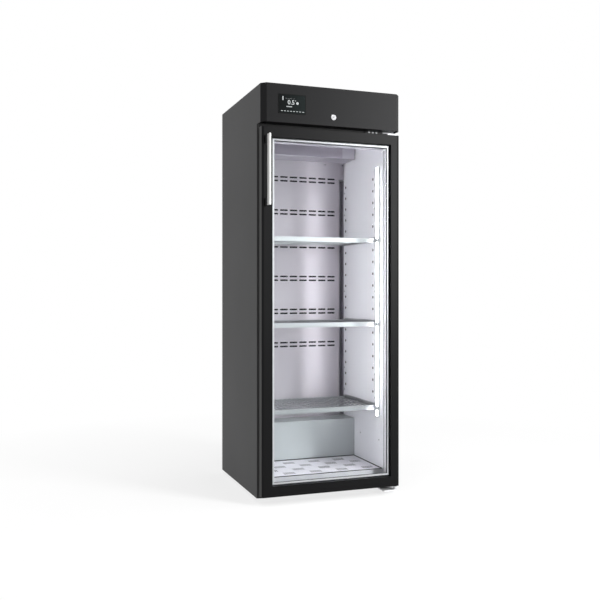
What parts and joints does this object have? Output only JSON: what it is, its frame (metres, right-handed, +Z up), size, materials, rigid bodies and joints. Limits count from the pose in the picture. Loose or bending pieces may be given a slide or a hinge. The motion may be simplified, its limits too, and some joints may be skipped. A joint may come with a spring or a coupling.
{
  "type": "dry aging cabinet",
  "caption": "Tall refrigerated cabinet with a hinged glass door, slide-out wire shelves, side light bars, a slotted air duct, a control fascia with a door lock, and a cooling unit in its base.",
  "frame": {"origin": "on the floor under the middle of the cabinet with its handle, the bottom centre of the bounding box", "axes": "+Z up, the door faces -Y, +X is to the viewer's right"},
  "size_m": [0.72, 0.802, 1.98],
  "materials": {
    "casing_black": "satin",
    "fascia_black": "satin",
    "door_black": "satin",
    "zinc_sheet": "matte",
    "frame_plastic": "satin",
    "stainless": "satin",
    "shelf_steel": "satin",
    "foam": "matte",
    "bezel_plastic": "matte",
    "screen_glass": "gloss",
    "lock_chrome": "polished",
    "hinge_steel": "satin",
    "bush_plastic": "matte",
    "channel_plastic": "matte",
    "coil_aluminium": "satin",
    "fan_plastic": "matte",
    "led_diffuser": "satin",
    "clip_steel": "satin",
    "compressor_paint": "gloss",
    "copper": "satin",
    "foot_plastic": "matte",
    "screw_zinc": "satin",
    "clear_glass": "gloss",
    "spacer_aluminium": "satin",
    "gasket_rubber": "matte",
    "handle_satin": "satin",
    "post_black": "satin"
  },
  "bodies": {
    "cabinet": {"side_panel_left": "casing_black", "side_panel_right": "casing_black", "roof_panel": "casing_black", "back_panel": "zinc_sheet", "back_grille": "zinc_sheet", "base_pan": "zinc_sheet", "front_frame": "frame_plastic", "liner_side_left": "stainless", "liner_side_right": "stainless", "liner_back": "stainless", "liner_ceiling": "stainless", "liner_floor": "stainless", "compressor_hump": "stainless", "foam_insulation": "foam", "fascia_panel": "fascia_black", "display_bezel": "bezel_plastic", "display_screen": "screen_glass", "control_box": "bezel_plastic", "lock_barrel": "lock_chrome", "hinge_bracket_top": "hinge_steel", "hinge_bracket_bottom": "hinge_steel", "hinge_pins": "hinge_steel", "duct_panel": "stainless", "return_channels": "channel_plastic", "fan_housing": "stainless", "evaporator_coil": "coil_aluminium", "fan_frame_left": "fan_plastic", "fan_frame_right": "fan_plastic", "led_bar_left": "led_diffuser", "led_bar_right": "led_diffuser", "led_clips": "clip_steel", "shelf_rails_left": "stainless", "shelf_rails_right": "stainless", "floor_tray": "stainless", "compressor": "compressor_paint", "condenser_coil": "coil_aluminium", "condenser_fan_frame": "fan_plastic", "refrigerant_lines": "copper", "drain_pan": "channel_plastic", "power_inlet": "bezel_plastic", "levelling_feet": "foot_plastic", "casing_screws": "screw_zinc", "liner_screws": "clip_steel"},
    "door": {"door_frame": "door_black", "glass_outer": "clear_glass", "glass_inner": "clear_glass", "glass_spacer": "spacer_aluminium", "door_inner_frame": "frame_plastic", "door_gasket": "gasket_rubber", "handle_bar": "handle_satin", "handle_posts": "post_black", "hinge_bushes": "bush_plastic"},
    "lock": {"lock_cylinder": "lock_chrome", "lock_cam": "zinc_sheet"},
    "fan_left": {"fan_rotor_left": "fan_plastic"},
    "fan_right": {"fan_rotor_right": "fan_plastic"},
    "condenser_fan": {"condenser_fan_rotor": "fan_plastic"},
    "shelf_top": {"wire_shelf_top": "shelf_steel"},
    "shelf_middle": {"wire_shelf_middle": "shelf_steel"},
    "shelf_bottom": {"wire_shelf_bottom": "shelf_steel"}
  },
  "joints": [
    {"name": "door_hinge", "type": "hinge", "parent": "cabinet", "child": "door", "pos_m": [0.34, -0.317, 0.02], "axis": [0, 0, 1], "range_deg": [0, 110]},
    {"name": "lock_turn", "type": "hinge", "parent": "cabinet", "child": "lock", "pos_m": [0.001, -0.337, 1.84], "axis": [0, 1, 0], "range_deg": [0, 90]},
    {"name": "fan_left_spin", "type": "hinge", "parent": "cabinet", "child": "fan_left", "pos_m": [-0.13, 0.2961, 1.695], "axis": [0, 0, 1], "continuous": true},
    {"name": "fan_right_spin", "type": "hinge", "parent": "cabinet", "child": "fan_right", "pos_m": [0.13, 0.2961, 1.695], "axis": [0, 0, 1], "continuous": true},
    {"name": "condenser_fan_spin", "type": "hinge", "parent": "cabinet", "child": "condenser_fan", "pos_m": [0.11, 0.2722, 0.106], "axis": [-1, 0, 0], "continuous": true},
    {"name": "shelf_top_slide", "type": "slide", "parent": "cabinet", "child": "shelf_top", "axis": [0, -1, 0], "range_m": [0, 0.09]},
    {"name": "shelf_middle_slide", "type": "slide", "parent": "cabinet", "child": "shelf_middle", "axis": [0, -1, 0], "range_m": [0, 0.09]},
    {"name": "shelf_bottom_slide", "type": "slide", "parent": "cabinet", "child": "shelf_bottom", "axis": [0, -1, 0], "range_m": [0, 0.09]}
  ]
}
